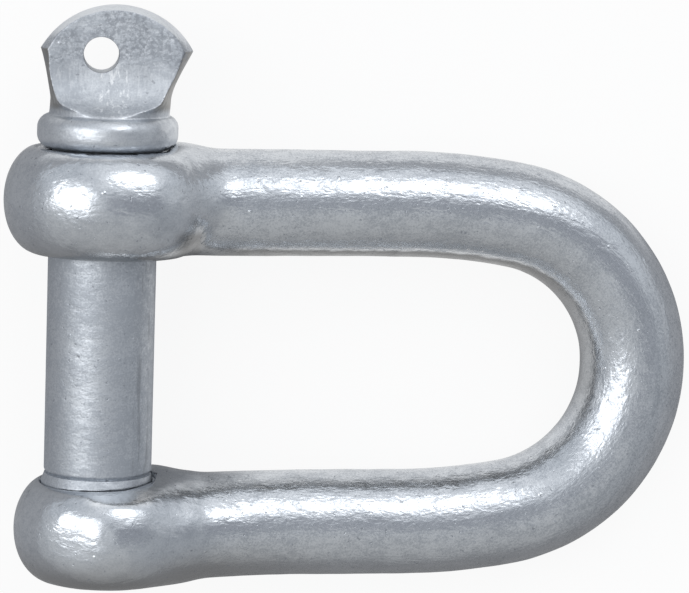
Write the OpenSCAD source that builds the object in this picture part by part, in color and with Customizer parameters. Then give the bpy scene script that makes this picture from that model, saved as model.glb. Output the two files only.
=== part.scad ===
// Screw pin chain shackle: a bent round bar with an eye at each end, and a pin
// that passes the plain eye and screws into the tapped one.
// The pin axis is Y and passes the origin in the middle of the jaw, with the
// pin's head towards +Y and the crown of the bow towards +X. The shackle lies
// on its side on a level surface, on the flanks of its eyes and on its crown.

/* [Bow] */
// Diameter of the round bar
bar_d = 12; // [11:0.1:13]
// Clear width of the jaw between the two legs
jaw_w = 24.6; // [24:0.1:28]
// Clear length from the pin to the inside of the crown
inside_len = 49.4; // [44:0.1:70]
// Length over which each leg bends in to the top of the crown
crown_rise = 26.9; // [24:0.1:29]
// How much tighter the crown's centreline is at its top than a half circle between the legs
crown_tighten = 0.9; // [0.5:0.1:2.5]

/* [Eyes] */
// Radius of the plain eye, on the head side
plain_eye_r = 11.1; // [10.4:0.1:12]
// Thickness of the plain eye along the pin, as forged
plain_eye_t = 12; // [11.6:0.1:13]
// Radius of the tapped eye
tapped_eye_r = 10.3; // [10:0.1:12]
// Thickness of the tapped eye along the pin, as forged
tapped_eye_t = 11.6; // [11.2:0.1:13]
// Distance of the tapped eye's centre from the pin axis, towards the crown
tapped_eye_shift = 1; // [0:0.1:1.6]
// Distance by which the tapped eye sits outside the line of its leg
tapped_eye_drop = 0.6; // [0:0.1:1]
// Depth of the rounded rim of the eyes, inwards from their largest radius
eye_rim = 3.8; // [3.2:0.1:4.4]
// Depth of the seat cut for the collar on the plain eye
plain_seat_cut = 0.25; // [0.15:0.05:0.5]
// Depth of the seat cut inside the jaw on the tapped eye
tapped_seat_cut = 0.4; // [0.3:0.05:1]
// Radius of the cutter that faces the two seats
seat_r = 8.4; // [8.3:0.1:9.4]
// Distance from the pin axis at which the plain eye's neck has become round bar
plain_neck_end = 13.2; // [12.5:0.1:18]
// Distance from the pin axis at which the tapped eye's neck has become round bar
tapped_neck_end = 16.5; // [14:0.1:20]

/* [Pin] */
// Diameter of the pin's shank
pin_d = 12.1; // [11:0.1:12.4]
// Diameter over the crests of the pin's rolled thread
thread_d = 12.7; // [12.6:0.1:13]
// Length of thread that shows above the tapped eye when the pin is home
thread_show = 1; // [0.5:0.1:2]
// Diameter of the collar
collar_d = 15.7; // [14.8:0.1:16.4]
// Height of the collar along the pin
collar_h = 3.85; // [3.4:0.05:4.5]
// Distance by which the pin's tip stays inside the tapped eye
tip_inset = 0.5; // [0:0.1:2]
// Angle about the pin at which the tab stands when the pin is screwed home
pin_turn = -3; // [-90:1:90]

/* [Head tab] */
// Height of the tab above the collar
tab_h = 12.15; // [11:0.05:14]
// Diameter of the neck between collar and tab
neck_d = 13.4; // [12:0.1:13.8]
// Largest width of the tab, at its two corners
tab_w = 16.9; // [15:0.1:18]
// Thickness of the tab between its flats
tab_t = 7.2; // [5:0.1:9]
// Radius of the domed top of the tab
dome_r = 9.7; // [9.2:0.1:12]
// Radius of the scoop where each flat runs out above the collar
scoop_r = 4.2; // [3:0.1:4.6]
// Sideways offset of the tab from the pin axis
tab_shift = 0.8; // [0:0.1:1]
// Diameter of the hole for the mousing wire
hole_d = 4.1; // [3:0.1:5]
// Height of the hole's centre above the collar
hole_h = 6.7; // [5.6:0.1:7.5]
// Sideways offset of the hole from the pin axis
hole_shift = -0.6; // [-1:0.1:1]

/* [Fits] */
// Radial gap between the thread crests and the wall of the tapped hole
thread_gap = 0.06; // [0.02:0.01:0.1]
// Radial gap between the thread crests and the wall of the plain hole
hole_gap = 0.35; // [0.2:0.05:0.5]
// Gap left under the collar when the pin is home
seat_gap = 0.05; // [0.02:0.01:0.1]

/* [Hidden] */

$fn = 96;
// How far a cutter runs past the face that it cuts
over = 1;

bar_r = bar_d / 2;
half_span = (jaw_w + bar_d) / 2;
crown_r = half_span - crown_tighten;
crown_x = pin_d / 2 + inside_len + bar_r;
bend_x = crown_x - crown_rise;
// The shoulder arcs touch the legs and the crown arc without a kink
shoulder_r = (crown_rise ^ 2 + half_span ^ 2 - 2 * crown_rise * crown_r) / (2 * crown_tighten);
shoulder_turn = atan2(crown_rise - crown_r, shoulder_r - half_span);
// The crown drops until it lies on the same level as the plain eye's flank
rest_tilt = asin((plain_eye_r - bar_r) / crown_x);

// Each stretch of bar runs this far into the next one, which is this much thicker
lap = 0.8;
lap_step = 0.02;
shoulder_bar_r = bar_r + lap_step;
crown_bar_r = bar_r + 2 * lap_step;

rim_steps = 20;
neck_sides = 40;
neck_steps = 10;
// Where the necks start inside the eyes, as a part of the eye's radius
neck_root = 0.45;
// Half width and half height of the neck's first section
neck_root_w = 0.8;
neck_root_h = 0.95;
// The neck's last ring is a polygon drawn around the bar
neck_end_r = bar_r / cos(180 / neck_sides) + lap_step;

plain_hole_r = thread_d / 2 + hole_gap;
tapped_hole_r = thread_d / 2 + thread_gap;
mouth_bevel = 0.5;

plain_face_y = jaw_w / 2;
plain_mid_y = plain_face_y + plain_eye_t / 2;
seat_y = plain_face_y + plain_eye_t - plain_seat_cut;
tapped_mid_y = -half_span - tapped_eye_drop;
tapped_face_y = tapped_mid_y + tapped_eye_t / 2 - tapped_seat_cut;
tapped_back_y = tapped_mid_y - tapped_eye_t / 2;

collar_y = seat_y + seat_gap;
collar_top_y = collar_y + collar_h;
collar_round = 1.3;
collar_steps = 6;
tip_y = tapped_back_y + tip_inset;
tip_bevel = 1.2;
thread_y = tapped_face_y + thread_show;
thread_runout = 0.4;
shank_bevel = 0.35;

tab_top_y = collar_top_y + tab_h;
dome_y = tab_top_y - dome_r;
dome_steps = 12;
// The neck stands straight for a short height and then flares out to the corners
neck_top_y = collar_top_y + 2.1;
flare_start_r = neck_d / 2 + 0.35;
flare_start_y = neck_top_y + 1.3;
hole_y = collar_top_y + hole_h;
hole_bevel = 0.3;
// The scoops reach a little below the top of the collar's round
scoop_y = collar_top_y - 0.3 + scoop_r;

// Points on an arc about a centre, from one angle to another
function arc_points(x, y, rx, ry, from, to, steps) =
    [for (i = [0:steps]) let (a = from + (to - from) * i / steps) [x + rx * cos(a), y + ry * sin(a)]];

// Stands a shape turned about Z up along the pin, so that its Z becomes Y
module along_pin() {
    rotate([-90, 0, 0]) children();
}

// A forged eye: a disc with an elliptical rim
module eye(radius, thickness) {
    half = thickness / 2;
    rim = arc_points(radius - eye_rim, 0, eye_rim, half, -90, 90, rim_steps);
    along_pin()
        rotate_extrude()
            polygon(concat([[0, -half]], rim, [[0, half]]));
}

// One ring of the neck: an ellipse across the leg that becomes the bar's circle
function neck_ring(x, mid_y, half_w, half_h) =
    [for (j = [0:neck_sides - 1]) let (a = 360 * j / neck_sides) [x, mid_y + half_h * cos(a), half_w * sin(a)]];

// The forged neck between an eye and its leg, as rings joined along X
module neck(eye_x, eye_y, eye_r, end_x, end_y) {
    start_x = eye_x + eye_r * neck_root;
    rings = [for (i = [0:neck_steps])
        let (u = i / neck_steps, fade = 1 - u * u * (3 - 2 * u))
        neck_ring(start_x + (end_x - start_x) * u,
                  end_y + (eye_y - end_y) * fade,
                  neck_end_r + (eye_r * neck_root_w - neck_end_r) * fade,
                  neck_end_r * (1 + (neck_root_h - 1) * fade))];
    n = neck_sides;
    walls = [for (i = [0:neck_steps - 1], j = [0:n - 1]) let (k = (j + 1) % n)
        each [[i * n + j, (i + 1) * n + k, i * n + k], [i * n + j, (i + 1) * n + j, (i + 1) * n + k]]];
    first = [for (j = [0:n - 1]) j];
    last = [for (j = [n - 1:-1:0]) neck_steps * n + j];
    polyhedron([for (ring = rings) each ring], concat(walls, [first, last]));
}

// Part of a ring of bar in the plane of the bow
module bar_arc(radius, thick_r, from, turn) {
    rotate([0, 0, from])
        rotate_extrude(angle = turn)
            translate([radius, 0]) circle(r = thick_r);
}

// The straight leg and the shoulder bend on the +Y side, from the neck's end
module leg(neck_end) {
    lap_turn = lap / shoulder_r * 180 / PI;
    translate([neck_end - lap, half_span, 0])
        rotate([0, 90, 0]) cylinder(r = bar_r, h = bend_x - neck_end + 2 * lap);
    translate([bend_x, half_span - shoulder_r, 0])
        bar_arc(shoulder_r, shoulder_bar_r, 90 - shoulder_turn - lap_turn, shoulder_turn + lap_turn);
}

// A drilled hole along the pin with a bevel at both mouths
module drilled(radius, low_y, high_y) {
    translate([0, low_y, 0]) along_pin() {
        translate([0, 0, -over]) cylinder(r = radius, h = high_y - low_y + 2 * over);
        translate([0, 0, -over])
            cylinder(r1 = radius + mouth_bevel + over, r2 = radius, h = mouth_bevel + over);
        translate([0, 0, high_y - low_y - mouth_bevel])
            cylinder(r1 = radius, r2 = radius + mouth_bevel + over, h = mouth_bevel + over);
    }
}

// A seat faced flat around the pin, from one height upwards
module faced(low_y, high_y) {
    translate([0, low_y, 0]) along_pin() cylinder(r = seat_r, h = high_y - low_y);
}

// The forged bow: one bar with its two eyes, faced and drilled along the pin
module bow() {
    color("silver")
        rotate([0, rest_tilt, 0])
            difference() {
                union() {
                    translate([0, plain_mid_y, 0]) eye(plain_eye_r, plain_eye_t);
                    translate([tapped_eye_shift, tapped_mid_y, 0]) eye(tapped_eye_r, tapped_eye_t);
                    neck(0, plain_mid_y, plain_eye_r, plain_neck_end, half_span);
                    neck(tapped_eye_shift, tapped_mid_y, tapped_eye_r, tapped_neck_end, -half_span);
                    leg(plain_neck_end);
                    mirror([0, 1, 0]) leg(tapped_neck_end);
                    translate([crown_x - crown_r, 0, 0])
                        bar_arc(crown_r, crown_bar_r, shoulder_turn - 90, 180 - 2 * shoulder_turn);
                }
                faced(seat_y, seat_y + collar_h);
                faced(tapped_face_y, -plain_face_y + over);
                drilled(plain_hole_r, plain_face_y, seat_y);
                drilled(tapped_hole_r, tapped_back_y, tapped_face_y);
            }
}

// The turned body of the pin: bevelled tip, thread, shank and collar
module pin_body() {
    rim_x = collar_d / 2 - collar_round;
    collar_rim = concat(
        arc_points(rim_x, collar_y + collar_round, collar_round, collar_round, -90, 0, collar_steps),
        arc_points(rim_x, collar_top_y - collar_round, collar_round, collar_round, 0, 90, collar_steps));
    along_pin()
        rotate_extrude()
            polygon(concat(
                [[0, tip_y],
                 [thread_d / 2 - tip_bevel, tip_y],
                 [thread_d / 2, tip_y + tip_bevel],
                 [thread_d / 2, thread_y - thread_runout],
                 [pin_d / 2 - shank_bevel, thread_y],
                 [pin_d / 2, thread_y + shank_bevel],
                 [pin_d / 2, collar_y]],
                collar_rim,
                [[0, collar_top_y]]));
}

// The head above the collar: a flared and domed turning with two flats
module head_tab() {
    intersection() {
        translate([tab_shift, 0, 0]) along_pin()
            rotate_extrude()
                polygon(concat(
                    [[0, collar_top_y - over],
                     [neck_d / 2, collar_top_y - over],
                     [neck_d / 2, neck_top_y],
                     [flare_start_r, flare_start_y]],
                    arc_points(0, dome_y, dome_r, dome_r, acos(tab_w / 2 / dome_r), 90, dome_steps)));
        translate([-tab_w, 0, 0])
            rotate([0, 90, 0])
                linear_extrude(2 * tab_w) flats();
    }
}

// The tab's outline seen edge on: flats with a scoop at the foot of each
module flats() {
    difference() {
        union() {
            translate([-tab_t / 2, collar_top_y - over]) square([tab_t, tab_h + 2 * over]);
            translate([-tab_t / 2 - scoop_r, collar_top_y - over])
                square([tab_t + 2 * scoop_r, scoop_y - collar_top_y + over]);
        }
        for (side = [-1, 1]) translate([side * (tab_t / 2 + scoop_r), scoop_y]) circle(r = scoop_r);
    }
}

// The hole through the tab, bevelled on both flats
module mousing_hole() {
    translate([hole_shift, hole_y, 0]) {
        cylinder(d = hole_d, h = tab_t + 2 * over, center = true);
        for (side = [0, 1]) mirror([0, 0, side])
            translate([0, 0, tab_t / 2 - hole_bevel])
                cylinder(r1 = hole_d / 2, r2 = hole_d / 2 + hole_bevel + over, h = hole_bevel + over);
    }
}

// The screw pin: one forging with collar, tab, shank and thread
module screw_pin() {
    color("lightgray")
        rotate([0, pin_turn, 0])
            difference() {
                union() {
                    pin_body();
                    head_tab();
                }
                mousing_hole();
            }
}

bow();
screw_pin();
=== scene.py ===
import math

import bpy
import numpy as np
from mathutils import Matrix, Vector


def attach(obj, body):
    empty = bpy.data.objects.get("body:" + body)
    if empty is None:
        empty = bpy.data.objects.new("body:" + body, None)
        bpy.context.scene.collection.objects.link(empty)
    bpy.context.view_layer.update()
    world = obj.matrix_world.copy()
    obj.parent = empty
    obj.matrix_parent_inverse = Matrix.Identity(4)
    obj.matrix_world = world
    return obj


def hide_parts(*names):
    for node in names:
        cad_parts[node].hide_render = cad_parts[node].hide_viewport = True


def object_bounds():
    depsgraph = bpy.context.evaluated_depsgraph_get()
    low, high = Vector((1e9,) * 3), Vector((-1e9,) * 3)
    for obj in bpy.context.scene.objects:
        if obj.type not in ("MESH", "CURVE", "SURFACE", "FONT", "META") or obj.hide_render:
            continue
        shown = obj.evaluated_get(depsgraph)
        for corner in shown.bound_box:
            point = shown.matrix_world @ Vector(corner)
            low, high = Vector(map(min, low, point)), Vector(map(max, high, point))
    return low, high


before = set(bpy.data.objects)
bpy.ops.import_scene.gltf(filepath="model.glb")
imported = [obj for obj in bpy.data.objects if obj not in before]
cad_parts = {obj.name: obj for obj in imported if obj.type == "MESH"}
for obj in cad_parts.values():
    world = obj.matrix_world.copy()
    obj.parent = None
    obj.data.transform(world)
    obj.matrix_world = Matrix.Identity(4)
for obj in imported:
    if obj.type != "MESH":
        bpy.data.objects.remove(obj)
cad_low, cad_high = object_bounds()

# Bow
# One drop forging: a round bar bent to a D, with a plain eye on the upper leg and a tapped eye
# on the lower one. Both eyes are faced and drilled for the pin, and the whole is dipped in zinc.

MM = 0.001

# The bar: straight legs, wide shoulders and a round crown
BAR_R = 6.0
BAR_END = 3.0
HALF_SPAN = 18.3
CROWN_X = 61.45
CROWN_RISE = 26.9
CROWN_R = 17.4
BEND_X = CROWN_X - CROWN_RISE
SHOULDER_R = (CROWN_RISE**2 + HALF_SPAN**2 - 2 * CROWN_RISE * CROWN_R) / (2 * (HALF_SPAN - CROWN_R))
SHOULDER_TURN = math.atan2(CROWN_RISE - CROWN_R, SHOULDER_R - HALF_SPAN)

# The plain eye, with its faced seat for the collar
RIM = 3.8
PLAIN_R = 11.1
PLAIN_HALF = 6.0
PLAIN_MID = 18.3
PLAIN_SQUARE = 2.2
PLAIN_STRETCH = 1.13
PLAIN_SEAT = 24.05
PLAIN_SEAT_R = 7.65
PLAIN_HOLE_R = 6.7
SEAT_EDGE = 0.2

# The tapped eye, with a tilted seat, a ground facet before it, a worn flat and a bulge towards the leg
TAPPED_R = 10.3
TAPPED_HALF = 5.8
TAPPED_X = 1.0
TAPPED_DROP = 0.6
TAPPED_MID = -HALF_SPAN - TAPPED_DROP
TAPPED_BACK = TAPPED_MID - TAPPED_HALF
TAPPED_SEAT = -13.15
TAPPED_SEAT_SLOPE = 0.045
TAPPED_SEAT_R = 7.2
TAPPED_SEAT_X = -1.0
TAPPED_SEAT_Z = 1.5
TAPPED_HOLE_R = 6.41
FACET_TURN = math.radians(8)
FACET_SLOPE = 0.45
FACET_DROP = 0.15
FACET_START = 6.3
FACET_END = 8.0
FACET_EDGE = 0.15
WORN_TURN = math.radians(-26)
WORN_R = 20.0
WORN_DEPTH = 0.2
WORN_LEAN = 0.03
WORN_EDGE = 0.5
BULGE = 0.45
BULGE_X = 6.6
BULGE_WIDTH = 2.0

# Where the legs run into the eyes
EYE_TAPER = 1.5
TAPPED_BLEND = 3.2
FLANK_SWELL = 0.4
LEG_SWELL = 0.12
NECK_DIP = 0.2
NECK_DIP_X = 12.6
NECK_DIP_WIDTH = 1.6

# Both holes, and the lumps that forging and zinc leave, as height, cell and seed
MOUTH_BEVEL = 0.3
PITCH = 2.0
GROOVE_DEPTH = 0.6
BOW_LUMPS = ((0.05, 7.0, 3), (0.03, 2.6, 5), (0.012, 1.1, 7))
BOW_SHRINK = 0.03
SHARP_FOLD = 32

# The shackle lies on its side: its crown drops to the level of the plain eye's flank
LIE = math.asin((PLAIN_R - BAR_R) / CROWN_X)


def laid(points):
    """Turns points of the bow's own frame about the pin by the angle at which the shackle lies."""
    x, y, z = points[..., 0], points[..., 1], points[..., 2]
    return np.stack([x * math.cos(LIE) + z * math.sin(LIE), y, z * math.cos(LIE) - x * math.sin(LIE)], -1)


def smooth(low, high, value):
    """The soft step that is 0 at low and 1 at high, with level ends."""
    t = np.clip((value - low) / (high - low), 0, 1)
    return t * t * (3 - 2 * t)


def soft_min(a, b, width):
    """The smaller of two values, rounded over a width where they cross."""
    h = np.clip(width - np.abs(a - b), 0, None) / width
    return np.minimum(a, b) - h * h * width / 4


def lumps(points, cell, seed):
    """Smooth random heights between -1 and 1 on a lattice with that cell, in millimetres."""
    size = 64
    table = np.random.default_rng(seed).uniform(-1, 1, (size, size, size))
    spots = points / cell + 1000
    base = np.floor(spots).astype(int)
    t = spots - base
    t = t * t * (3 - 2 * t)
    total = np.zeros(points.shape[:-1])
    for corner in np.ndindex(2, 2, 2):
        at = (base + corner) % size
        share = np.prod(np.where(np.array(corner) == 1, t, 1 - t), -1)
        total += share * table[at[..., 0], at[..., 1], at[..., 2]]
    return total


def bow_line():
    """Stations on the bar's centreline, from the tip of the plain eye round to the tip of the tapped one.
    Each has a point and the outward direction in the plane of the bow.
    They are closer beside the eyes, and close up towards both tips as a cosine."""
    tip = np.linspace(0.03, math.pi / 2, 56)
    neck_x = 17
    upper = np.concatenate([
        -PLAIN_R * np.cos(tip), np.linspace(0, neck_x, 76)[1:], np.linspace(neck_x, BEND_X, 36)[1:]])
    lower = np.concatenate([
        np.linspace(BEND_X, neck_x, 36), np.linspace(neck_x, TAPPED_X, 64)[1:],
        (TAPPED_X - TAPPED_R * np.cos(tip))[::-1][1:]])
    turn = np.linspace(0, SHOULDER_TURN, 22)[1:]
    crown = np.linspace(SHOULDER_TURN, math.pi - SHOULDER_TURN, 92)[1:]
    angle = np.concatenate([turn, crown, math.pi - turn[::-1][1:]])
    shoulder = np.minimum(angle, math.pi - angle) <= SHOULDER_TURN + 1e-9
    radius = np.where(shoulder, SHOULDER_R, CROWN_R)
    centre_x = np.where(shoulder, BEND_X, CROWN_X - CROWN_R)
    centre_y = np.where(shoulder, np.sign(np.cos(angle)) * (HALF_SPAN - SHOULDER_R), 0)
    arc_x = centre_x + radius * np.sin(angle)
    arc_y = centre_y + radius * np.cos(angle)
    drop = TAPPED_DROP * (1 - smooth(2, 24, lower))
    x = np.concatenate([upper, arc_x, lower])
    y = np.concatenate([np.full(len(upper), HALF_SPAN), arc_y, -HALF_SPAN - drop])
    nx = np.concatenate([np.zeros(len(upper)), np.sin(angle), np.zeros(len(lower))])
    ny = np.concatenate([np.ones(len(upper)), np.cos(angle), -np.ones(len(lower))])
    zero = np.zeros(len(x))
    return np.stack([x, y, zero], -1), np.stack([nx, ny, zero], -1)


def eye_gap(x, y, z, radius, half, squareness=2.0, stretch=1.0):
    """Distance from an eye's surface: a disc whose rim is half an ellipse.
    Towards the leg its outline is a little square, and longer by the stretch."""
    power = np.where(x > 0, squareness, 2.0)
    x = np.where(x > 0, x / stretch, x)
    across = (np.abs(x) ** power + np.abs(z) ** power) ** (1 / power)
    u = np.clip(across - (radius - RIM), 0, None) / RIM
    v = y / half
    size = np.sqrt(u * u + v * v) + 1e-9
    return (size - 1) * size / (np.sqrt((u / RIM) ** 2 + (v / half) ** 2) + 1e-9)


def bow_gap(points, line, upper):
    """Distance from the bow's surface, in millimetres and below 0 inside it:
    the bar and the eye at its end, run together softly, less the faced seat."""
    x, y, z = points[..., 0], points[..., 1], points[..., 2]
    behind = np.clip(BAR_END - x, 0, None)
    flank = np.where(upper, 1.0, 1 + FLANK_SWELL * smooth(19, 2, x))
    away = np.sqrt((x - line[..., 0]) ** 2 + (y - line[..., 1]) ** 2 + (z / flank) ** 2)
    rise = y - PLAIN_MID
    neck = NECK_DIP * np.exp(-((x - NECK_DIP_X) / NECK_DIP_WIDTH) ** 2)
    neck = neck * upper * smooth(1, -3, rise) * smooth(-5.9, -3.5, rise)
    swell = LEG_SWELL * smooth(32, 14, x) * smooth(1, -5, rise) * upper
    taper = EYE_TAPER * np.where(upper, smooth(8, 3, x), smooth(11, 4, x))
    bar = np.sqrt(away**2 + behind**2) - (BAR_R - neck - taper + swell)
    plain = eye_gap(x, rise, z, PLAIN_R, PLAIN_HALF, PLAIN_SQUARE, PLAIN_STRETCH)
    tapped = eye_gap(x - TAPPED_X, y - TAPPED_MID, z, TAPPED_R, TAPPED_HALF)
    sunk = WORN_R - TAPPED_R + WORN_DEPTH
    worn = np.hypot(x - TAPPED_X + sunk * math.sin(WORN_TURN), z + sunk * math.cos(WORN_TURN)) - WORN_R
    worn = worn + WORN_LEAN * (y - TAPPED_MID)
    tapped = -soft_min(-tapped, -worn, WORN_EDGE)
    plain_blend = 0.7 + 2.5 * smooth(-4, 1, rise) - 0.7 * smooth(2.5, 5, rise)
    whole = np.where(upper, soft_min(bar, plain, plain_blend), soft_min(bar, tapped, TAPPED_BLEND))
    plain_seat = np.maximum(PLAIN_SEAT - y, np.hypot(x, z) - PLAIN_SEAT_R)
    slope = TAPPED_SEAT_SLOPE * (x - z)
    from_seat = np.hypot(x - TAPPED_SEAT_X, z - TAPPED_SEAT_Z) - TAPPED_SEAT_R
    tapped_seat = np.maximum(TAPPED_SEAT + slope - y, from_seat)
    ahead = x * math.sin(FACET_TURN) + z * math.cos(FACET_TURN) - FACET_START
    facet = TAPPED_SEAT - FACET_DROP - FACET_SLOPE * ahead - y
    far_off = 9.0
    facet = np.where(upper | (z < 3) | (x > FACET_END), far_off, facet)
    whole = -soft_min(-whole, facet, FACET_EDGE)
    bulge = BULGE * np.exp(-((x - BULGE_X) / BULGE_WIDTH) ** 2) * smooth(3, -2, z) * smooth(-17, -14, y)
    whole = whole - np.where(upper, 0, bulge)
    return -soft_min(-whole, np.where(upper, plain_seat, tapped_seat), SEAT_EDGE)


def bow_shape(around=128):
    """The bow as rings of points round its centreline, each at the first radius where the distance is zero.
    Slow lumps of forging and of zinc are then added along the radius. The last two points are the tips."""
    line, out = bow_line()
    angle = np.linspace(0, 2 * math.pi, around, endpoint=False)
    up = np.array([0.0, 0.0, 1.0])
    ray = np.cos(angle)[None, :, None] * out[:, None, :] + np.sin(angle)[None, :, None] * up
    start = np.repeat(line[:, None, :], around, 1)
    upper = np.repeat((line[:, 1] > 0)[:, None], around, 1)
    low = np.zeros(upper.shape)
    reach, steps, halvings = 15.0, 90, 24
    step = reach / steps
    running = np.ones(upper.shape, bool)
    for n in range(1, steps + 1):
        inside = bow_gap(start + ray * (n * step), start, upper) < 0
        running &= inside
        low = np.where(running, n * step, low)
    high = low + step
    for _ in range(halvings):
        middle = (low + high) / 2
        inside = bow_gap(start + ray * middle[..., None], start, upper) < 0
        low = np.where(inside, middle, low)
        high = np.where(inside, high, middle)
    skin = start + ray * low[..., None]
    tips = np.array([[-PLAIN_R, PLAIN_MID, 0.0], [TAPPED_X - TAPPED_R, TAPPED_MID, 0.0]])
    uneven = sum(height * lumps(skin, cell, seed) for height, cell, seed in BOW_LUMPS)
    faced = upper & (np.abs(skin[..., 1] - PLAIN_SEAT) < 0.06)
    skin = skin + ray * np.where(faced, 0.1, 1.0)[..., None] * (uneven - BOW_SHRINK)[..., None]
    return skin, tips


def ring_faces(rows, columns):
    """Faces of a closed tube of rings, each joined to the next, with its last column joined to its first.
    The points of the tube come first, then one point for each end, which closes that end with triangles."""
    index = np.arange(rows * columns).reshape(rows, columns)
    after = np.roll(index, -1, 1)
    walls = np.stack([index[:-1], after[:-1], after[1:], index[1:]], -1).reshape(-1, 4)
    first, last = rows * columns, rows * columns + 1
    start = np.stack([np.full(columns, first), after[0], index[0]], -1)
    end = np.stack([np.full(columns, last), index[-1], after[-1]], -1)
    return walls.tolist() + start.tolist() + end.tolist()


def new_piece(name, points, faces):
    """A new object whose mesh has these points, in millimetres, and faces."""
    mesh = bpy.data.meshes.new(name)
    mesh.from_pydata((points * MM).tolist(), [], faces)
    mesh.update()
    piece = bpy.data.objects.new(name, mesh)
    bpy.context.scene.collection.objects.link(piece)
    return piece


def cut(piece, *cutters):
    """Takes cutters out of a piece, keeps the result as the piece's mesh and removes the cutters."""
    for cutter in cutters:
        tool = piece.modifiers.new("cut", "BOOLEAN")
        tool.object = cutter
        tool.operation = "DIFFERENCE"
        tool.solver = "MANIFOLD"
    graph = bpy.context.evaluated_depsgraph_get()
    result = bpy.data.meshes.new_from_object(piece.evaluated_get(graph))
    piece.modifiers.clear()
    old = piece.data
    piece.data = result
    result.name = piece.name
    bpy.data.meshes.remove(old)
    for cutter in cutters:
        bpy.data.meshes.remove(cutter.data)


def soften(piece, degrees):
    """Shades a piece smoothly, apart from edges that fold more sharply than an angle."""
    piece.data.polygons.foreach_set("use_smooth", np.ones(len(piece.data.polygons), bool))
    piece.data.set_sharp_from_angle(angle=math.radians(degrees))


def hole_shape(radius, low, high, groove, around=144, step=0.125):
    """A hole cutter as rings along the pin: a cylinder that opens at 45 degrees at both mouths.
    A helical groove of the given depth is added to its wall, fading out at the mouths."""
    count = int((high - low + 2) / step) + 1
    y = np.linspace(low - 1, high + 1, count)[:, None]
    angle = np.linspace(0, 2 * math.pi, around, endpoint=False)[None, :]
    mouth = np.clip(np.maximum(low + MOUTH_BEVEL - y, y - high + MOUTH_BEVEL), 0, MOUTH_BEVEL)
    wave = 0.5 + 0.5 * np.cos(2 * math.pi * (y / PITCH - angle / (2 * math.pi)))
    inner = smooth(low + 0.2, low + 1.0, y) * smooth(high - 0.2, high - 1.0, y)
    r = np.maximum(radius + mouth, radius + groove * smooth(0.2, 0.8, wave) * inner)
    rings = np.stack([r * np.sin(angle), np.broadcast_to(y, r.shape), r * np.cos(angle)], -1)
    ends = np.array([[0, low - 1, 0], [0, high + 1, 0]])
    return np.concatenate([rings.reshape(-1, 3), ends]), ring_faces(count, around)


bow_rings, bow_tips = bow_shape()
bow_points = laid(np.concatenate([bow_rings.reshape(-1, 3), bow_tips]))
bow = new_piece("bow_forging", bow_points, ring_faces(*bow_rings.shape[:2]))
plain_hole = hole_shape(PLAIN_HOLE_R, PLAIN_MID - PLAIN_HALF, PLAIN_SEAT, 0.0)
plain_drill = new_piece("plain_drill", *plain_hole)
tapped_hole = hole_shape(TAPPED_HOLE_R, TAPPED_BACK, TAPPED_SEAT - MOUTH_BEVEL, GROOVE_DEPTH)
tapped_drill = new_piece("tapped_drill", *tapped_hole)
cut(bow, plain_drill, tapped_drill)
soften(bow, SHARP_FOLD)


class Wire:
    """A shader socket used in sums: each operator adds one Math node to its tree."""

    def __init__(self, tree, socket=None):
        self.tree = tree
        self.socket = socket

    def node(self, kind, settings=None, sockets=None, out=0):
        """Adds a node. Its settings are set first, then its sockets get their values or links."""
        made = self.tree.nodes.new(kind)
        for name, value in (settings or {}).items():
            setattr(made, name, value)
        for name, value in (sockets or {}).items():
            if isinstance(value, Wire):
                self.tree.links.new(value.socket, made.inputs[name])
            else:
                made.inputs[name].default_value = value
        return Wire(self.tree, made.outputs[out])

    def math(self, operation, first, second=0.0):
        """One Math node on a value or two."""
        return self.node("ShaderNodeMath", {"operation": operation}, {0: first, 1: second})

    def __add__(self, other):
        return self.math("ADD", self, other)

    def __radd__(self, other):
        return self.math("ADD", other, self)

    def __sub__(self, other):
        return self.math("SUBTRACT", self, other)

    def __rsub__(self, other):
        return self.math("SUBTRACT", other, self)

    def __mul__(self, other):
        return self.math("MULTIPLY", self, other)

    def __rmul__(self, other):
        return self.math("MULTIPLY", other, self)

    def step(self, low, high):
        """The soft step of this value from low to high."""
        return self.node("ShaderNodeMapRange", {"interpolation_type": "SMOOTHSTEP"},
                         {"Value": self, "From Min": low, "From Max": high})

    def clamp(self, low=0.0, high=1.0):
        """This value, kept between two others."""
        return self.node("ShaderNodeClamp", None, {"Value": self, "Min": low, "Max": high})

    def mix(self, first, second):
        """A colour between two, with this value as the share of the second."""
        return self.node("ShaderNodeMix", {"data_type": "RGBA"}, {0: self, 6: first, 7: second}, 2)


def new_material(name):
    """A material with one Principled shader, as its tree's first wire and the shader."""
    material = bpy.data.materials.new(name)
    material.use_nodes = True
    return material, Wire(material.node_tree), material.node_tree.nodes["Principled BSDF"]


def scaled(wire, place, factors):
    """A place with each of its three parts multiplied by a factor."""
    return wire.node("ShaderNodeVectorMath", {"operation": "MULTIPLY"}, {0: place, 1: factors})


def part(wire, place, axis):
    """One of the three parts of a place."""
    return wire.node("ShaderNodeSeparateXYZ", None, {0: place}, axis)


def noise(wire, place, scale, detail=3.0, roughness=0.5, distortion=0.0):
    """Soft random values about 0, mostly within 0.3, with the given number of cells to the millimetre."""
    return wire.node("ShaderNodeTexNoise", None, {
        "Vector": place, "Scale": scale, "Detail": detail,
        "Roughness": roughness, "Distortion": distortion}) - 0.5


ZINC_PALE = (0.72, 0.75, 0.785, 1.0)
ZINC_DULL = (0.49, 0.52, 0.56, 1.0)
ZINC_DARK = (0.30, 0.32, 0.355, 1.0)
# A grey for painted shade, also used for the shank's streaks
ZINC_SHADE_AND_STAIN = (0.33, 0.325, 0.315, 1.0)
# Bright bare zinc, also used for painted highlights and sheen
ZINC_BARE_AND_SHEEN = (0.90, 0.92, 0.94, 1.0)
# A dark grey for painted shade
ZINC_PAINTED_DARK = (0.20, 0.20, 0.20, 1.0)


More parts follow.
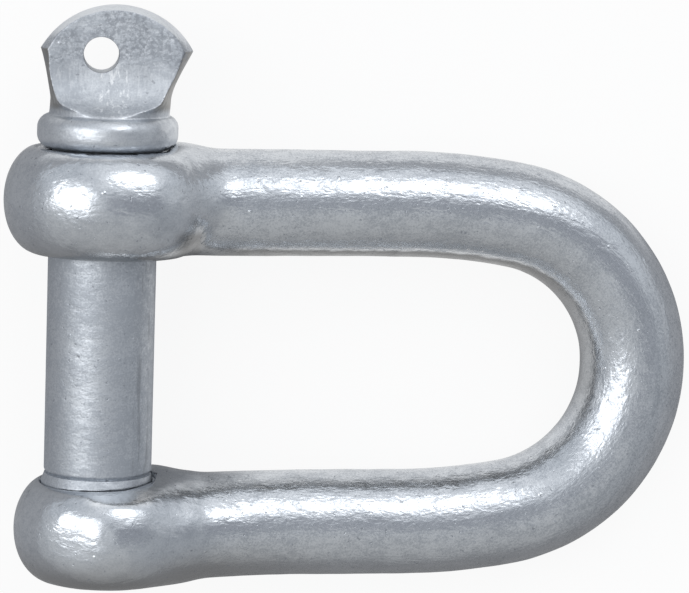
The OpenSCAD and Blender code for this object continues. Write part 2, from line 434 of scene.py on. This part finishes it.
def zinc_coat(wire, place, sandy):
    """Hot dipped zinc at a place in millimetres: pale and dull clouds, specks, drops and pits.
    Where it is sandy, its skin is uneven at the size of a grain, longer along the first axis.
    Gives height in hundredths of a millimetre, the share of dull zinc, the pits and the roughness."""
    drawn = scaled(wire, place, (0.5, 1.0, 1.0))
    clouds = noise(wire, place, 0.21, 3.0, 0.5, 0.3)
    mottle = noise(wire, drawn, 1.3, 3.0, 0.5, 0.4)
    grain = noise(wire, drawn, 3.2, 2.0, 0.5)
    specks = noise(wire, place, 4.5, 2.0, 0.6)
    pits = noise(wire, place, 1.9, 2.0).step(0.17, 0.25)
    cells = {"Vector": place, "Scale": 0.5}
    apart = wire.node("ShaderNodeTexVoronoi", None, cells, "Distance")
    shade = wire.node("ShaderNodeTexVoronoi", None, cells, "Color")
    chance = wire.node("ShaderNodeRGBToBW", None, {0: shade})
    drops = apart.step(0.13, 0.03) * chance.step(0.62, 0.66)
    dull = clouds * 0.9 + mottle * (0.7 + sandy * 0.3) + specks * (0.9 + sandy * 1.0) + 0.4
    height = clouds * 9.0 + mottle * 6.0 + grain * (0.9 + sandy * 2.7) + drops * 5.0 - pits * 2.0
    rough = clouds * 0.25 + mottle * 0.3 + specks * (0.1 + sandy * 0.2) + sandy * 0.04 + 0.2
    return height, dull.step(0.0, 0.9), pits, rough


def zinc_shader(wire, shader, height, dull, pits, rough, shade_and_stain, bare_and_sheen, worn=None):
    """Joins a coat of zinc to the shader, its height through a Bump node. The last three values are the
    shares of a grey for painted shade and stains, of bright zinc and painted sheen, and of dark grey for
    painted shade."""
    colour = shade_and_stain.clamp().mix(dull.clamp().mix(ZINC_PALE, ZINC_DULL), ZINC_SHADE_AND_STAIN)
    colour = bare_and_sheen.clamp().mix(colour, ZINC_BARE_AND_SHEEN)
    if worn is not None:
        colour = worn.clamp().mix(colour, ZINC_PAINTED_DARK)
    colour = (pits * 0.7).mix(colour, ZINC_DARK)
    rough = rough.clamp(0.09, 0.6)
    bump = wire.node("ShaderNodeBump", None, {"Strength": 1.0, "Distance": 0.01 * MM, "Height": height})
    wire.tree.links.new(colour.socket, shader.inputs["Base Color"])
    wire.tree.links.new(rough.socket, shader.inputs["Roughness"])
    wire.tree.links.new(bump.socket, shader.inputs["Normal"])
    shader.inputs["Metallic"].default_value = 1.0


SHOULDER_END = BEND_X + SHOULDER_R * SHOULDER_TURN
HALF_LENGTH = SHOULDER_END + CROWN_R * (math.pi / 2 - SHOULDER_TURN)
LENGTH = 2 * HALF_LENGTH


def bar_places(mesh):
    """Where each vertex of the bow lies on its bar, in millimetres: along the centreline from the pin,
    outwards from it in the plane of the bow, and to its side.
    On an arc the length is the arc's radius times the angle."""
    spots = np.empty(len(mesh.vertices) * 3)
    mesh.vertices.foreach_get("co", spots)
    spots = spots.reshape(-1, 3) / MM
    x = spots[:, 0] * math.cos(LIE) - spots[:, 2] * math.sin(LIE)
    z = spots[:, 0] * math.sin(LIE) + spots[:, 2] * math.cos(LIE)
    y = np.abs(spots[:, 1])
    on_shoulder = (x - BEND_X, y - HALF_SPAN + SHOULDER_R)
    on_crown = (x - CROWN_X + CROWN_R, y)
    turn = np.arctan2(*on_shoulder)
    where = [x < BEND_X, turn < SHOULDER_TURN]
    along = np.select(where, [x, BEND_X + SHOULDER_R * turn],
                      SHOULDER_END + CROWN_R * (np.arctan2(*on_crown) - SHOULDER_TURN))
    out = np.select(where, [y - HALF_SPAN, np.hypot(*on_shoulder) - SHOULDER_R],
                    np.hypot(*on_crown) - CROWN_R)
    along = np.where(spots[:, 1] > 0, along, LENGTH - along)
    return np.stack([along, out, z], -1)


def keep_facing(mesh):
    """Keeps the direction that each vertex faces as a point attribute of its mesh."""
    facing = np.empty(len(mesh.vertices) * 3, np.float32)
    mesh.vertex_normals.foreach_get("vector", facing)
    mesh.attributes.new("facing", "FLOAT_VECTOR", "POINT").data.foreach_set("vector", facing)


bar = bow.data.attributes.new("bar", "FLOAT_VECTOR", "POINT")
bar.data.foreach_set("vector", bar_places(bow.data).ravel())
keep_facing(bow.data)
bow_zinc, wire, shader = new_material("bow_zinc")
place = wire.node("ShaderNodeAttribute", {"attribute_name": "bar"}, out="Vector")
along, out, side = part(wire, place, 0), part(wire, place, 1), part(wire, place, 2)
sandy = along.step(9, 15) * along.step(LENGTH - 9, LENGTH - 15)
height, dull, pits, rough = zinc_coat(wire, place, sandy)

# Painted shade: the sides that face away from the head are darker, most of all at the lower end
faces_up = part(wire, wire.node("ShaderNodeAttribute", {"attribute_name": "facing"}, out="Vector"), 1)
lower_end = along.step(LENGTH - 30, LENGTH - 8)
painted_far_side_shade = faces_up.step(0.08, -1.0) * 0.62 + faces_up.step(0.0, -0.65) * lower_end * 0.38

# Inside the upper leg and the crown a dark strip with a bright edge is painted: painted shade and a painted
# highlight
edge = out + noise(wire, place, 0.6, 2.0) * 0.5
painted_strip_reach = along.step(12, 16) * along.step(HALF_LENGTH + 12, HALF_LENGTH + 2)
painted_strip_highlight = edge.step(-4.2, -4.75) * edge.step(-5.3, -4.9) * painted_strip_reach
on_crown = along.step(HALF_LENGTH - 20, HALF_LENGTH - 8)
painted_strip_shade = edge.step(-4.75, -5.15) * painted_strip_reach * (0.95 - on_crown * 0.4)

# The crease beside the plain eye is darkened with painted shade, and the seat of the tapped eye is faced
# bright
painted_crease_shade = along.step(6.4, 8.6) * along.step(11.2, 10.0) * out.step(-2.0, -3.3)
faced = along.step(LENGTH - 6, LENGTH - 4.5) * along.step(LENGTH + 2.5, LENGTH + 1)
faced = faced * out.step(-3.4, -3.9) * side.step(5.0, 6.2)
# worn here holds only painted shade: the painted strip and the painted crease shade
worn = wire.math("MAXIMUM", painted_strip_shade, painted_crease_shade * 0.9)
zinc_shader(wire, shader, height, dull, pits, rough, painted_far_side_shade, painted_strip_highlight * 0.5 + faced, worn)
bow.data.materials.clear()
bow.data.materials.append(bow_zinc)
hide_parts("bow")
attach(bow, "bow")

# Screw pin
# One forging, turned and rolled: a threaded end, a plain shank, a round collar and a flat tab with a
# hole for the mousing wire. It passes the plain eye, and its thread screws into the tapped one.

PIN_R = 6.05
CREST_R = 6.35
ROOT_R = 5.4
TIP_Y = TAPPED_BACK + 0.5
TIP_BEVEL = 1.2
THREAD_Y = -12.5
RING_Y = -13.05
COLLAR_R = 7.86
ROUND_LOW = 1.6
ROUND_TOP = 1.5
NECK_TURN = math.radians(70)
COLLAR_Y = PLAIN_SEAT + 0.05
COLLAR_TOP = COLLAR_Y + 3.85
NECK_R = 6.7
NECK_ROUND = (COLLAR_R - ROUND_TOP * (1 - math.cos(NECK_TURN)) - NECK_R) / (1 - math.cos(NECK_TURN))
CORNER_R = 8.45
DOME_R = 9.7
TAB_TOP = COLLAR_TOP + 12.15
DOME_Y = TAB_TOP - DOME_R
CORNER_Y = DOME_Y + math.sqrt(DOME_R**2 - CORNER_R**2)
TAB_HALF = 3.6
SCOOP_Y = COLLAR_TOP + 5.5
SCOOP_BEND = 0.0198
CORNER_SWELL = 0.15
DOME_LEVEL = 0.28
WAIST_SWELL = 0.4
HEAD_SHIFTS = ((0.3, 20, 26), (0.25, 26, 30), (0.6, 30, 36))
HOLE_R = 1.97
HOLE_Y = COLLAR_TOP + 6.7
HOLE_X = -0.6
HOLE_LEAN_X = 0.035
HOLE_LEAN_Y = 0.022
HOLE_ROUND = 0.12
DRILL_HALF = 6.0
PIN_LUMPS = ((0.02, 4.0, 11), (0.012, 1.4, 13))
PIN_SHRINK = 0.015
PIN_TURN = math.radians(-3)


def pin_outline():
    """Height and radius along the pin's profile, from the tip up to the top of the dome.
    The thread is added later, so that here the threaded end has the crest radius."""
    tip = np.stack([np.full(10, TIP_Y), np.linspace(0.4, CREST_R - TIP_BEVEL, 10)], -1)
    thread_y = np.linspace(TIP_Y + 0.05, THREAD_Y, 124)
    start_r = PIN_R - 0.05 + 0.36 * (THREAD_Y - thread_y)
    bevel_r = np.minimum(CREST_R, CREST_R - TIP_BEVEL + thread_y - TIP_Y)
    thread = np.stack([thread_y, np.minimum(start_r, bevel_r)], -1)
    shank_y = np.concatenate([
        np.linspace(THREAD_Y + 0.04, THREAD_Y + 0.6, 8), np.linspace(THREAD_Y + 1.2, COLLAR_Y - 0.3, 30)])
    shank = np.stack([shank_y, PIN_R - 0.3 * smooth(THREAD_Y + 0.5, THREAD_Y, shank_y)], -1)
    low = np.linspace(-math.pi / 2, 0, 15)
    high = np.linspace(0, NECK_TURN, 15)
    fillet = np.stack([[COLLAR_Y - 0.15, COLLAR_Y - 0.04, COLLAR_Y], [PIN_R, PIN_R + 0.04, PIN_R + 0.12]], -1)
    under_y = COLLAR_Y + ROUND_LOW * (1 + np.sin(low))
    under = np.stack([under_y, COLLAR_R - ROUND_LOW * (1 - np.cos(low))], -1)
    over_y = COLLAR_TOP - ROUND_TOP * (1 - np.sin(high))
    over = np.stack([over_y, COLLAR_R - ROUND_TOP * (1 - np.cos(high))], -1)
    foot_y = over[-1, 0] + NECK_ROUND * math.sin(NECK_TURN)
    foot = np.stack([foot_y - NECK_ROUND * np.sin(high), NECK_R + NECK_ROUND * (1 - np.cos(high))], -1)
    foot = foot[::-1][1:-1]
    neck_y = np.linspace(foot_y, CORNER_Y, 76)
    flare = CORNER_R - NECK_R
    rise = (neck_y - COLLAR_TOP) / (CORNER_Y - COLLAR_TOP)
    neck_r = NECK_R + flare * np.clip((rise - 0.24) / 0.76, 0, 1) ** 1.35
    neck = np.stack([neck_y, neck_r], -1)
    dome_angle = np.linspace(math.acos(CORNER_R / DOME_R), math.pi / 2 - 0.02, 60)[1:]
    dome = np.stack([DOME_Y + DOME_R * np.sin(dome_angle), DOME_R * np.cos(dome_angle)], -1)
    return np.concatenate([tip, thread, shank, fillet, under, over, foot, neck, dome])


def pin_shape(around=240):
    """The pin as rings about its axis. Its thread is a wave along height and turn. Its head is shifted
    sideways and pressed to two flats, whose distance grows as a cube below the scoop's height.
    The last two points are the ends."""
    outline = pin_outline()
    y, r = outline[:, :1], outline[:, 1:]
    angle = np.linspace(0, 2 * math.pi, around, endpoint=False)[None, :]
    turned = angle - 2 * math.pi * (angle > math.pi)
    wave = 0.5 + 0.5 * np.cos(2 * math.pi * ((y - RING_Y) / PITCH - turned / (2 * math.pi)))
    depth = (CREST_R - ROOT_R) * smooth(THREAD_Y - 0.6, THREAD_Y - 1.6, y)
    r = r - depth * smooth(0.75, 0.2, wave) * (r > ROOT_R - 0.5)
    x = r * np.sin(angle)
    waist = smooth(COLLAR_TOP + 0.5, COLLAR_TOP + 2.0, y) * smooth(CORNER_Y, CORNER_Y - 3.0, y)
    z = r * np.cos(angle) * (1 + WAIST_SWELL * waist)
    half = TAB_HALF + SCOOP_BEND * np.clip(SCOOP_Y - y, 0, None) ** 3
    half = half + CORNER_SWELL * smooth(4.0, 8.4, np.abs(x))
    z = np.where(y > COLLAR_TOP - 1.2, np.sign(z) * soft_min(np.abs(z), half, 0.3), z)
    y = y + DOME_LEVEL * (z / TAB_HALF) ** 2 * smooth(CORNER_Y - 0.5, CORNER_Y + 2.0, y)
    shift = sum(most * smooth(low, high, y) for most, low, high in HEAD_SHIFTS)
    shape = np.stack([x + shift, y, z], -1)
    ends = np.array([[0, TIP_Y, 0], [sum(most for most, _, _ in HEAD_SHIFTS), TAB_TOP, 0]])
    uneven = sum(height * lumps(shape, cell, seed) for height, cell, seed in PIN_LUMPS)
    head = smooth(COLLAR_Y - 0.5, COLLAR_Y + 1, y)
    flat_ray = np.stack([np.sin(angle), 0 * angle, np.cos(angle)], -1)
    shape = shape + flat_ray * ((uneven - PIN_SHRINK) * (0.25 + 0.75 * head))[..., None]
    return shape, ends


def turned_home(points):
    """Turns points about the pin axis to where the tab stands when the pin is screwed home."""
    x, y, z = points[..., 0], points[..., 1], points[..., 2]
    return np.stack([x * math.cos(PIN_TURN) + z * math.sin(PIN_TURN), y,
                     z * math.cos(PIN_TURN) - x * math.sin(PIN_TURN)], -1)


def mousing_drill(around=72):
    """The cutter of the wire hole: rings across the tab, opening in a quarter round at both flats."""
    side = np.linspace(-math.pi / 2, 0, 7)
    z = np.concatenate([[-DRILL_HALF], -TAB_HALF + HOLE_ROUND * (1 + np.sin(side)) - 0.02])
    r = np.concatenate([[HOLE_R + HOLE_ROUND], HOLE_R + HOLE_ROUND * (1 - np.cos(side))])
    z = np.concatenate([z, -z[::-1]])[:, None]
    r = np.concatenate([r, r[::-1]])[:, None]
    angle = np.linspace(0, 2 * math.pi, around, endpoint=False)[None, :]
    rings = np.stack([HOLE_X + r * np.cos(angle), HOLE_Y + r * np.sin(angle), z + 0 * angle], -1)
    ends = np.array([[HOLE_X, HOLE_Y, -DRILL_HALF], [HOLE_X, HOLE_Y, DRILL_HALF]])
    points = np.concatenate([rings.reshape(-1, 3), ends])
    points[:, 0] += HOLE_LEAN_X * points[:, 2]
    points[:, 1] += HOLE_LEAN_Y * points[:, 2]
    return points, ring_faces(len(z), around)


pin_rings, pin_ends = pin_shape()
pin_points = turned_home(np.concatenate([pin_rings.reshape(-1, 3), pin_ends]))
pin = new_piece("pin_forging", pin_points, ring_faces(*pin_rings.shape[:2]))
drill_points, drill_faces = mousing_drill()
cut(pin, new_piece("mousing_drill", turned_home(drill_points), drill_faces))
soften(pin, SHARP_FOLD)

keep_facing(pin.data)
pin_zinc, wire, shader = new_material("pin_zinc")
place = scaled(wire, wire.node("ShaderNodeTexCoord", out=3), (1 / MM, 1 / MM, 1 / MM))
across, up = part(wire, place, 0), part(wire, place, 1)
aside = wire.math("ABSOLUTE", across)
facing = wire.node("ShaderNodeAttribute", {"attribute_name": "facing"}, out="Vector")
faces_side, faces_up = wire.math("ABSOLUTE", part(wire, facing, 0)), part(wire, facing, 1)
shank = up.step(COLLAR_Y + 0.5, COLLAR_Y - 0.5)
tab_foot = up.step(COLLAR_TOP - 0.2, COLLAR_TOP + 0.4) * up.step(SCOOP_Y + 1.0, SCOOP_Y - 1.0)
tab_head = up.step(SCOOP_Y - 1.0, SCOOP_Y + 1.0)
height, dull, pits, rough = zinc_coat(wire, place, shank * 0.5 + tab_head * 0.7)

# The shank has dark streaks on its right, scratches round it and small hollows
streaks = noise(wire, scaled(wire, place, (1.0, 0.1, 1.0)), 1.3, 3.0, 0.65).step(0.02, 0.16)
streaks = streaks * across.step(2.0, 4.8) * shank
scratches = noise(wire, scaled(wire, place, (0.1, 1.5, 0.1)), 1.6, 3.0, 0.6).step(0.13, 0.24)
scratches = scratches * noise(wire, place, 0.5, 2.0).step(0.0, 0.15) * shank
hollows = noise(wire, place, 2.6, 3.0, 0.6).step(0.10, 0.22)
hollows = hollows * noise(wire, place, 0.25, 2.0).step(-0.02, 0.15) * shank

# The pressed tab has drawn marks and bright strokes at its foot, grime on its head and painted shade on its
# side edges
marks = noise(wire, scaled(wire, place, (1.0, 0.07, 1.0)), 2.6, 3.0, 0.6)
bright = noise(wire, scaled(wire, place, (1.0, 0.2, 1.0)), 1.8, 4.0, 0.7).step(0.02, 0.12) * tab_foot
bright = bright * (0.25 + 0.75 * across.step(-1.8, -0.6) * across.step(3.2, 1.8))
grime = noise(wire, place, 0.35, 2.0).step(-0.16, 0.06)
grime = grime * noise(wire, place, 2.4, 4.0, 0.65).step(-0.08, 0.08) * tab_head
painted_side_shade = faces_side.step(0.3, 0.7) * faces_up.step(0.5, 0.2) * aside.step(4.5, 5.5)
painted_side_shade = painted_side_shade * up.step(COLLAR_TOP + 0.2, COLLAR_TOP + 1.2)
# Painted sheen: the dome's upward faces are made paler and brighter, without pits or grime
dome = faces_up.step(0.45, 0.75) * up.step(CORNER_Y - 1.0, CORNER_Y)

height = height * (1 - tab_foot * 0.7) + marks * (tab_foot * 2.0 + shank * 0.6) - hollows * 2.0
dull = dull + tab_foot * (marks * 0.6 + aside.step(1.5, 4.5) * 0.4)
dull = dull + tab_head * 0.42 + shank * 0.4 - dome * 0.8
pits = (pits + grime) * (1 - dome) + streaks * 0.7 + scratches * 0.6 + hollows * 0.6
pits = pits.clamp()
rough = rough + shank * 0.07 + tab_foot * 0.04 + tab_head * 0.08 + 0.2
zinc_shader(wire, shader, height, dull, pits, rough, painted_side_shade + streaks * 0.2, bright * 0.9 + dome * 0.3)
pin.data.materials.clear()
pin.data.materials.append(pin_zinc)
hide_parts("screw_pin")
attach(pin, "screw_pin")

# Floor
# A sheet of plain pale paper under the shackle, which keeps its soft shadow. The camera sees it white.
# Mirror rays see it dim, which is painted shade, and see glowing strips of painted light behind the upper
# leg, by the head and within the bow, which the metal shows as painted reflections.

FLOOR_REACH = 3.0
FLOOR_DROP = 0.00005
PAPER_SEEN = (0.95, 0.95, 0.95, 1.0)
# The paper's dim colour for mirror rays, a painted shade
PAPER_MIRROR_SHADE = (0.40, 0.40, 0.41, 1.0)
WHITE = (1.0, 1.0, 1.0, 1.0)

floor_z = cad_low.z - FLOOR_DROP
corners = ((-1, -1), (1, -1), (1, 1), (-1, 1))
floor_mesh = bpy.data.meshes.new("floor")
floor_mesh.from_pydata([(x * FLOOR_REACH, y * FLOOR_REACH, floor_z) for x, y in corners], [], [(0, 1, 2, 3)])
floor = bpy.data.objects.new("floor", floor_mesh)
bpy.context.scene.collection.objects.link(floor)
paper, wire, shader = new_material("floor_paper")
place = wire.node("ShaderNodeTexCoord", out=3)
across, up = part(wire, place, 0), part(wire, place, 1)
# Painted light: strips, and a patch under the wire hole, that glow only for mirror rays
behind = up.step(0.014, 0.024) * up.step(0.060, 0.043) * across.step(-0.016, 0.01) * across.step(0.085, 0.06)
beside_collar = up.step(0.027, 0.031) * across.step(0.013, 0.008)
head = up.step(0.038, 0.046) * up.step(0.25, 0.10) * across.step(-0.04, -0.016) * across.step(0.04, 0.02)
from_hole = wire.node("ShaderNodeVectorMath", {"operation": "DISTANCE"},
                      {0: place, 1: (HOLE_X * MM, HOLE_Y * MM, floor_z)}, "Value")
behind = wire.math("MAXIMUM", behind * (1 - beside_collar), head)
behind = wire.math("MAXIMUM", behind, from_hole.step(0.005, 0.0035))
glow_within = up.step(-0.022, -0.013) * up.step(0.020, 0.004)
glow_within = glow_within * across.step(0.011, 0.021) * across.step(0.058, 0.045)
seen = wire.node("ShaderNodeLightPath", out="Is Camera Ray")
glossy = wire.node("ShaderNodeLightPath", out="Is Glossy Ray")
clear = wire.node("ShaderNodeLightPath", out="Is Transmission Ray")
wire.tree.links.new(seen.mix(PAPER_MIRROR_SHADE, PAPER_SEEN).socket, shader.inputs["Base Color"])
shader.inputs["Roughness"].default_value = 0.9
shader.inputs["Specular IOR Level"].default_value = 0.1
white = wire.node("ShaderNodeEmission", None, {"Color": WHITE, "Strength": 1.0})
# Mirror rays get little of the white, a painted shade, and most of it in the strips, a painted glow
share = (seen + clear) * 0.90 + glossy * (0.08 + behind * 0.76 + glow_within * 0.74)
blend = wire.node("ShaderNodeMixShader", None, {0: share, 1: Wire(wire.tree, shader.outputs[0]), 2: white})
wire.tree.links.new(blend.socket, wire.tree.nodes["Material Output"].inputs["Surface"])
floor_mesh.materials.append(paper)

# Light
# Two soft boxes in a pale room, one above towards the head and one on the left.
# The room is dimmer between them, on the right and low at the sides, and glows round each box.

TO_ROW = Matrix.Rotation(LIE, 4, "Y")
MIDDLE = TO_ROW @ Vector((0.0275, 0.006, 0.0))


def towards(azimuth, elevation):
    """A direction from the bow, with azimuth from its front to the crown and elevation to the head."""
    a, e = math.radians(azimuth), math.radians(elevation)
    return TO_ROW.to_3x3() @ Vector((math.sin(a) * math.cos(e), math.sin(e), math.cos(a) * math.cos(e)))


def soft_box(name, azimuth, elevation, distance, width, height, level):
    """An area lamp that faces the bow, turned so that its height points as nearly as it can along world Z.
    Its level is its brightness as the metal reflects it, with 1 as white."""
    lamp = bpy.data.lights.new(name, "AREA")
    lamp.shape = "RECTANGLE"
    lamp.size = width
    lamp.size_y = height
    lamp.energy = level * math.pi * width * height
    box = bpy.data.objects.new(name, lamp)
    back = towards(azimuth, elevation)
    box.location = MIDDLE + back * distance
    box.rotation_euler = back.to_track_quat("Z", "Y").to_euler()
    bpy.context.scene.collection.objects.link(box)


soft_box("box_above", azimuth=22, elevation=41, distance=0.8, width=0.40, height=0.30, level=1.7)
soft_box("box_left", azimuth=-43, elevation=9, distance=0.8, width=0.45, height=0.65, level=1.4)

world = bpy.data.worlds.new("room")
bpy.context.scene.world = world
world.use_nodes = True
room = Wire(world.node_tree)
background = world.node_tree.nodes["Background"]
camera_ray = room.node("ShaderNodeLightPath", out="Is Camera Ray")
heading = room.node("ShaderNodeTexCoord", out=0)


def nearness(azimuth, elevation):
    """How near the heading is to a direction, as the cosine of the angle between them."""
    return room.node("ShaderNodeVectorMath", {"operation": "DOT_PRODUCT"},
                     {0: heading, 1: tuple(towards(azimuth, elevation))}, "Value")


ROOM_LOW = (0.56, 0.57, 0.58, 1.0)
ROOM_HIGH = (0.64, 0.67, 0.71, 1.0)
ROOM_GLOW = (1.0, 1.02, 1.05, 1.0)
ROOM_BETWEEN = (0.36, 0.375, 0.41, 1.0)
ROOM_RIGHT = (0.34, 0.36, 0.39, 1.0)
ROOM_FOOT = (0.42, 0.43, 0.45, 1.0)

rise, front = part(room, heading, 1), part(room, heading, 2)
glow = nearness(22, 55).step(0.72, 0.97) + nearness(-38, 10).step(0.82, 0.97) * 0.7
between = nearness(25, 4).step(0.86, 0.97) * rise.step(-0.24, -0.06) * rise.step(0.40, 0.22)
right_side = nearness(72, -8).step(0.55, 0.95) * rise.step(0.15, -0.1)
foot = front.step(0.5, 0.0) * rise.step(0.6, 0.1)
shade = rise.step(-0.6, 0.7).mix(ROOM_LOW, ROOM_HIGH)
shade = (glow * 0.8).mix(shade, ROOM_GLOW)
shade = between.mix(shade, ROOM_BETWEEN)
shade = (right_side * 0.7).mix(shade, ROOM_RIGHT)
shade = (foot * 0.7).mix(shade, ROOM_FOOT)
shade = camera_ray.mix(shade, WHITE)
room.tree.links.new(shade.socket, background.inputs["Color"])
background.inputs["Strength"].default_value = 1.0

# Camera
# It looks down on the shackle from the pin's side and a little from the head, and is rolled a little.
# Its lens gives the shackle its size in the frame.

VIEW_DISTANCE = 0.4
VIEW_AZIMUTH = -10.11
VIEW_ELEVATION = 7.8
VIEW_ROLL = math.radians(1.83)
VIEW_TARGET = Vector((0.02762, 0.00766, 0.0))
PIXELS_PER_MM = 8.83
IMAGE_WIDTH = 689

back = towards(VIEW_AZIMUTH, VIEW_ELEVATION)
level = (TO_ROW.to_3x3() @ Vector((0, 1, 0))).cross(back).normalized()
upright = back.cross(level)
right = level * math.cos(VIEW_ROLL) + upright * math.sin(VIEW_ROLL)
top = upright * math.cos(VIEW_ROLL) - level * math.sin(VIEW_ROLL)
lens = bpy.data.cameras.new("camera")
lens.sensor_width = 36.0
lens.sensor_fit = "HORIZONTAL"
lens.lens = PIXELS_PER_MM * VIEW_DISTANCE / MM / IMAGE_WIDTH * lens.sensor_width
lens.clip_start = 0.01
lens.clip_end = 20.0
camera = bpy.data.objects.new("camera", lens)
spot = TO_ROW @ VIEW_TARGET + back * VIEW_DISTANCE
camera.matrix_world = Matrix((
    (right.x, top.x, back.x, spot.x),
    (right.y, top.y, back.y, spot.y),
    (right.z, top.z, back.z, spot.z),
    (0, 0, 0, 1)))
bpy.context.scene.collection.objects.link(camera)
bpy.context.scene.camera = camera
bpy.context.scene.view_settings.view_transform = "Standard"
